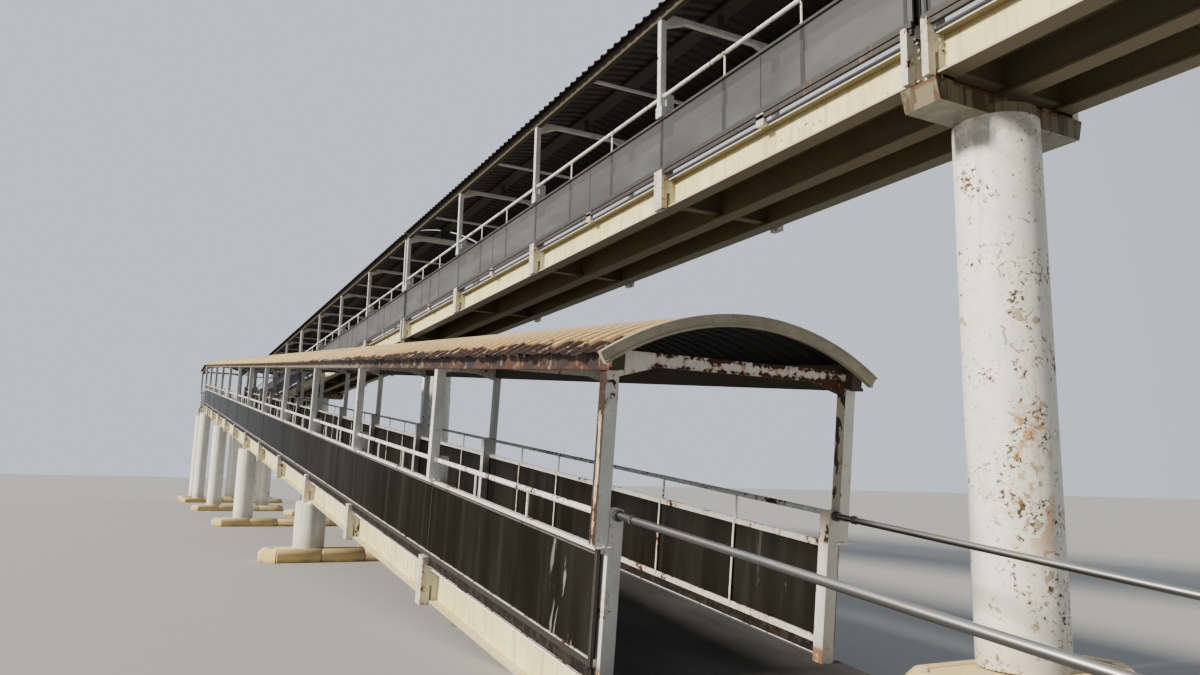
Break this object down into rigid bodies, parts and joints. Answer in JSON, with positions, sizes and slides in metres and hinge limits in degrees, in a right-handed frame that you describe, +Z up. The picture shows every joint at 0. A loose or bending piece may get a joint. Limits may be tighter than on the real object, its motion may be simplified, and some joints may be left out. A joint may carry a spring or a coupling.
{
  "type": "covered passenger boarding bridge with ramp, 1:2 scale model",
  "caption": "Covered walkway on round piers with an arched canopy, and a covered ramp beside it that climbs to a shared landing at the far end.",
  "frame": {"origin": "centre of the underside of the level bridge's second plinth from the open end", "axes": "+X along the walkways towards the landing, +Y from the level bridge towards the ramp, +Z up"},
  "size_m": [35, 2.632, 4],
  "materials": {
    "plinth_yellow": "faded yellow masonry paint",
    "pier_white": "peeling white masonry paint",
    "bearing_rubber": "matt",
    "girder_cream": "stained cream paint",
    "under_steel": "dark rusted primer",
    "deck_grey": "worn non-slip covering",
    "bracket_grey": "chalky grey paint",
    "frame_white": "chalky white paint",
    "portal_white": "white paint with rust",
    "glass_bridge": "clouded",
    "glass_ramp": "smoked",
    "rail_brown": "dark brown paint",
    "rail_white": "flaking white paint",
    "pipe_white": "white paint",
    "eave_brown": "light brown paint",
    "roof_brown": "brown coated sheet",
    "roof_cream": "faded cream coated sheet",
    "fascia_grey": "dirty grey beige paint",
    "stainless": "satin"
  },
  "bodies": {
    "root": {"bridge_plinths": "plinth_yellow", "bridge_piers": "pier_white", "bridge_bearings": "bearing_rubber", "bridge_girders": "girder_cream", "bridge_cross_beams": "under_steel", "bridge_centre_girder": "under_steel", "bridge_deck": "deck_grey", "bridge_rail_props": "bracket_grey", "bridge_post_shoes": "frame_white", "bridge_ties": "frame_white", "bridge_ridge": "eave_brown", "bridge_ridge_hangers": "eave_brown", "shared_plinths": "plinth_yellow", "bridge_brackets": "bracket_grey", "bridge_stub_posts": "frame_white", "bridge_panels": "glass_bridge", "bridge_panel_rails": "rail_brown", "bridge_handrails": "pipe_white", "bridge_canopy_posts": "frame_white", "bridge_portal_beams": "frame_white", "bridge_eave_beams": "eave_brown", "bridge_roof": "roof_brown", "ramp_plinths": "plinth_yellow", "ramp_columns": "pier_white", "ramp_girders": "girder_cream", "ramp_cross_beams": "under_steel", "ramp_deck": "deck_grey", "ramp_toe": "deck_grey", "ramp_brackets": "bracket_grey", "ramp_stub_posts": "frame_white", "ramp_panels": "glass_ramp", "ramp_panel_rails": "rail_white", "ramp_handrails": "pipe_white", "ramp_canopy_posts": "frame_white", "ramp_portal_beams": "portal_white", "ramp_eave_beams": "eave_brown", "ramp_roof": "roof_cream", "ramp_front_arch": "fascia_grey", "entry_rails": "stainless", "landing_girders": "girder_cream", "landing_cross_beams": "under_steel", "landing_deck": "deck_grey", "landing_panels": "glass_bridge", "landing_panel_rails": "rail_brown", "landing_handrails": "pipe_white"}
  },
  "joints": []
}
